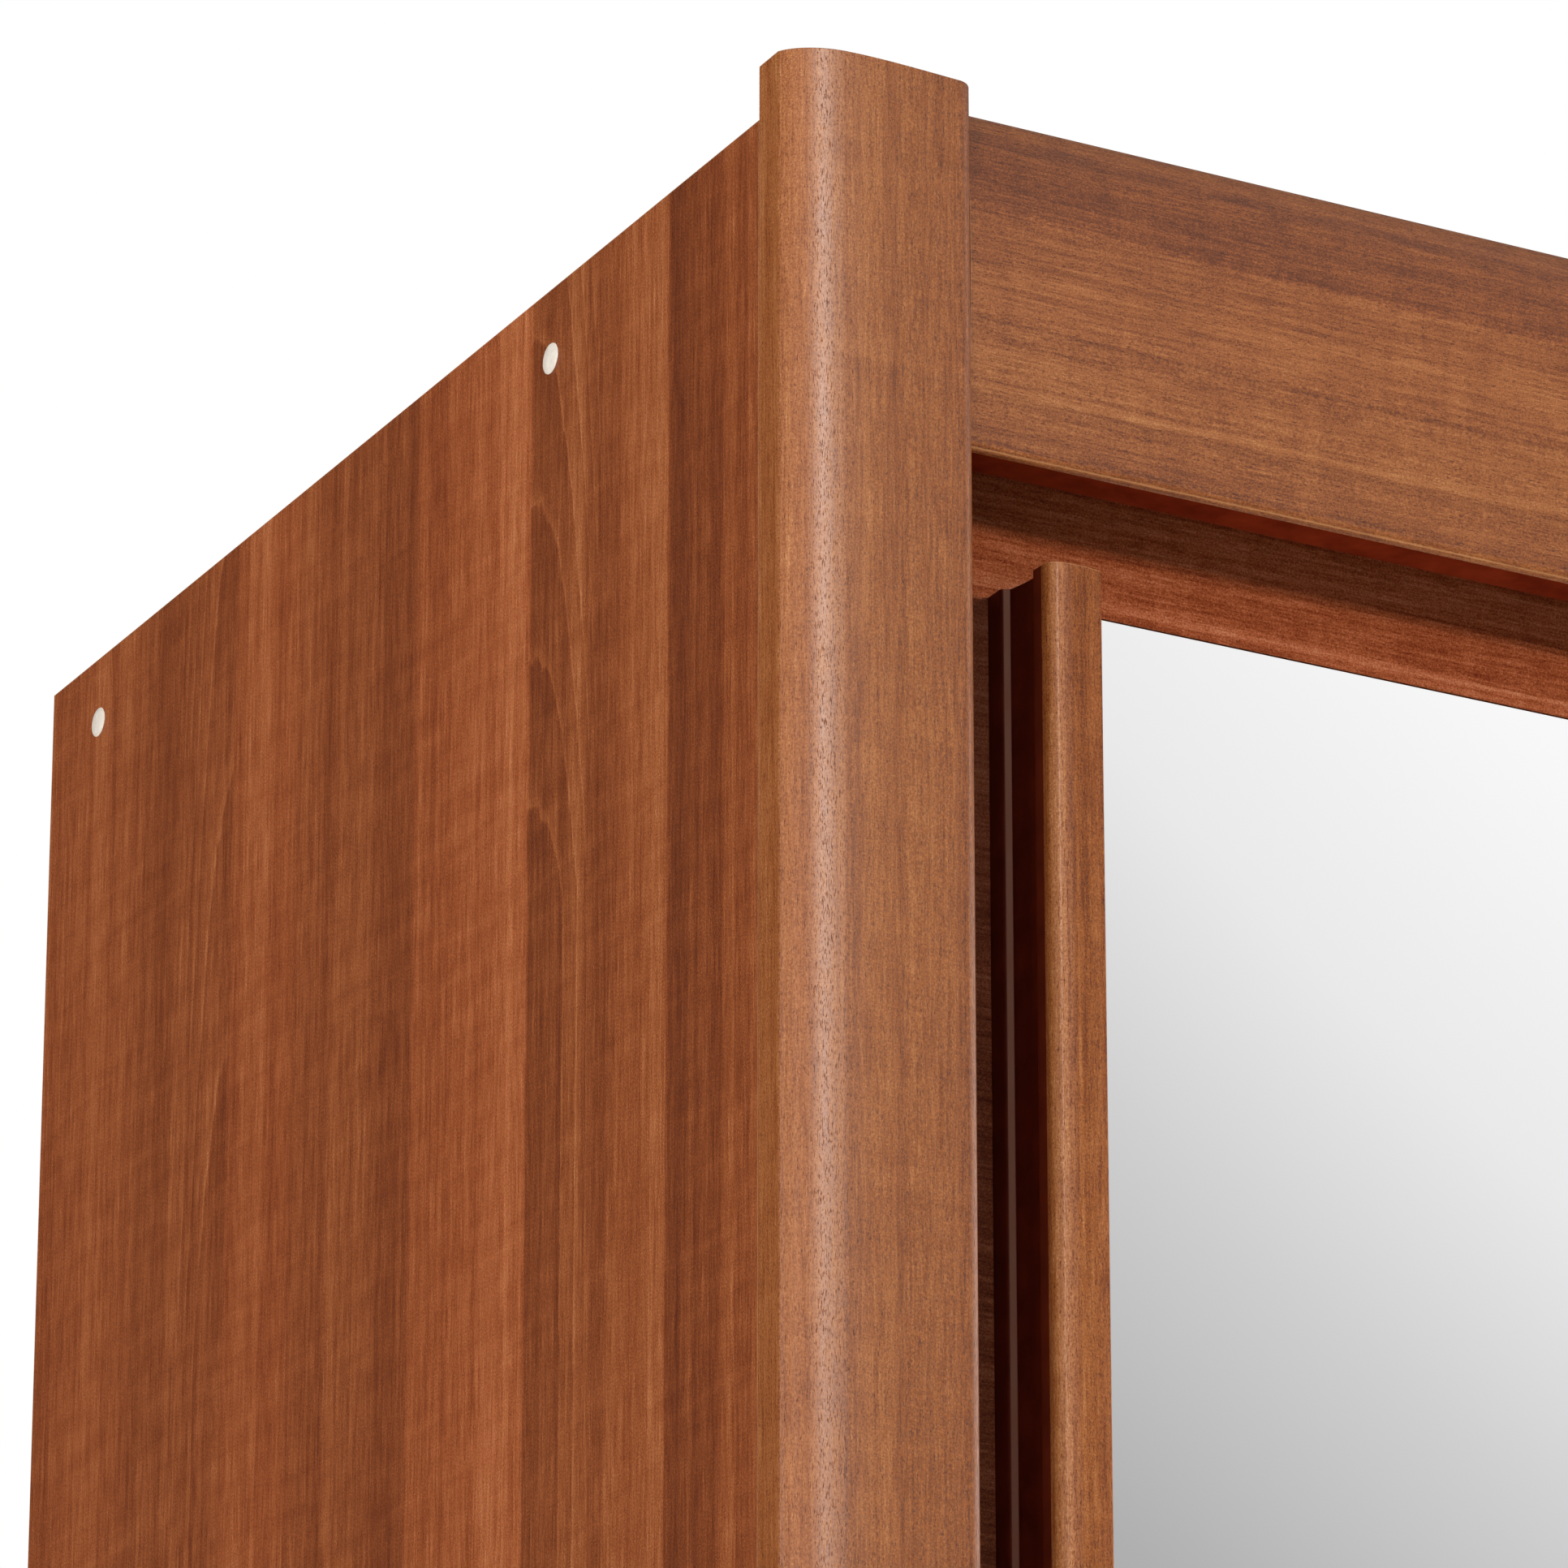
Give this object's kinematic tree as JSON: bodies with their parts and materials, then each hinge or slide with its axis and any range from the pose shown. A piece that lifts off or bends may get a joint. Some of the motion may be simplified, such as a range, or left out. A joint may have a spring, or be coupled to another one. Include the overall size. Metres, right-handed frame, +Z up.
{
  "type": "sliding wardrobe",
  "caption": "Tall free-standing sliding wardrobe in walnut foil with rounded pilasters, a curved cornice and mirrored doors with full-height handle mouldings.",
  "frame": {"origin": "middle of the footprint, on the floor", "axes": "+X along the width to the right seen from the front, +Y from the front to the back, +Z up"},
  "size_m": [1.8028, 0.626, 2.171],
  "materials": {
    "walnut_foil": "walnut-grain melamine foil on chipboard, satin",
    "walnut_moulding": "walnut-grain foil wrapped round MDF mouldings, satin",
    "mirror_glass": "4 mm silvered float glass with ground edges",
    "back_board": "thin hardboard, smooth side inwards",
    "white_plastic": "moulded off-white plastic",
    "zinc_steel": "bright zinc plated steel",
    "track_aluminium": "anodised extrusion",
    "rail_chrome": "chrome plated steel",
    "grey_nylon": "moulded nylon",
    "black_plastic": "moulded black plastic",
    "buffer_rubber": "soft brown-black rubber"
  },
  "bodies": {
    "carcass": {"left_side_panel": "walnut_foil", "right_side_panel": "walnut_foil", "top_panel": "walnut_foil", "bottom_panel": "walnut_foil", "centre_partition": "walnut_foil", "front_plinth": "walnut_foil", "rear_plinth": "walnut_foil", "base_rib": "walnut_foil", "left_hat_shelf": "walnut_foil", "right_hat_shelf": "walnut_foil", "lower_shelf": "walnut_foil", "middle_shelf": "walnut_foil", "upper_shelf": "walnut_foil", "left_pilaster": "walnut_moulding", "right_pilaster": "walnut_moulding", "cornice": "walnut_moulding", "left_back_sheet": "back_board", "right_back_sheet": "back_board", "screw_caps": "white_plastic", "back_joining_strip": "white_plastic", "corner_brackets": "zinc_steel", "bracket_screws": "zinc_steel", "carcass_screws": "zinc_steel", "back_nails": "zinc_steel", "track_screws": "zinc_steel", "wall_brackets": "zinc_steel", "wall_bracket_screws": "zinc_steel", "shelf_pins": "zinc_steel", "front_bottom_track": "track_aluminium", "rear_bottom_track": "track_aluminium", "front_top_track": "track_aluminium", "rear_top_track": "track_aluminium", "hanging_rail": "rail_chrome", "rail_sockets": "rail_chrome", "floor_glides": "black_plastic", "track_stops": "buffer_rubber"},
    "left_door": {"left_door_panel": "walnut_foil", "left_door_mirror": "mirror_glass", "left_door_outer_handle": "walnut_moulding", "left_door_inner_handle": "walnut_moulding", "left_door_handle_screws": "zinc_steel", "left_door_roller_housings": "black_plastic", "left_door_axles": "zinc_steel", "left_door_top_guides": "black_plastic", "left_door_fitting_screws": "zinc_steel", "left_door_buffers": "buffer_rubber"},
    "right_door": {"right_door_panel": "walnut_foil", "right_door_mirror": "mirror_glass", "right_door_outer_handle": "walnut_moulding", "right_door_inner_handle": "walnut_moulding", "right_door_handle_screws": "zinc_steel", "right_door_roller_housings": "black_plastic", "right_door_axles": "zinc_steel", "right_door_top_guides": "black_plastic", "right_door_fitting_screws": "zinc_steel", "right_door_buffers": "buffer_rubber"},
    "left_door_outer_wheel": {"left_door_outer_wheel": "grey_nylon"},
    "left_door_inner_wheel": {"left_door_inner_wheel": "grey_nylon"},
    "right_door_outer_wheel": {"right_door_outer_wheel": "grey_nylon"},
    "right_door_inner_wheel": {"right_door_inner_wheel": "grey_nylon"}
  },
  "joints": [
    {"name": "left_door_slide", "type": "slide", "parent": "carcass", "child": "left_door", "axis": [1, 0, 0], "range_m": [0, 0.82]},
    {"name": "left_door_outer_wheel_spin", "type": "hinge", "parent": "left_door", "child": "left_door_outer_wheel", "pos_m": [-0.791, -0.2375, 0.1168], "axis": [0, 1, 0], "continuous": true},
    {"name": "left_door_inner_wheel_spin", "type": "hinge", "parent": "left_door", "child": "left_door_inner_wheel", "pos_m": [-0.03, -0.2375, 0.1168], "axis": [0, 1, 0], "continuous": true},
    {"name": "right_door_slide", "type": "slide", "parent": "carcass", "child": "right_door", "axis": [1, 0, 0], "range_m": [-0.82, 0]},
    {"name": "right_door_outer_wheel_spin", "type": "hinge", "parent": "right_door", "child": "right_door_outer_wheel", "pos_m": [0.791, -0.1775, 0.1168], "axis": [0, 1, 0], "continuous": true},
    {"name": "right_door_inner_wheel_spin", "type": "hinge", "parent": "right_door", "child": "right_door_inner_wheel", "pos_m": [0.03, -0.1775, 0.1168], "axis": [0, 1, 0], "continuous": true}
  ],
  "couplings": [
    {"joint": "left_door_outer_wheel_spin", "follows": "left_door_slide", "rad_per_m": 86.957},
    {"joint": "left_door_inner_wheel_spin", "follows": "left_door_slide", "rad_per_m": 86.957},
    {"joint": "right_door_outer_wheel_spin", "follows": "right_door_slide", "rad_per_m": 86.957},
    {"joint": "right_door_inner_wheel_spin", "follows": "right_door_slide", "rad_per_m": 86.957}
  ]
}
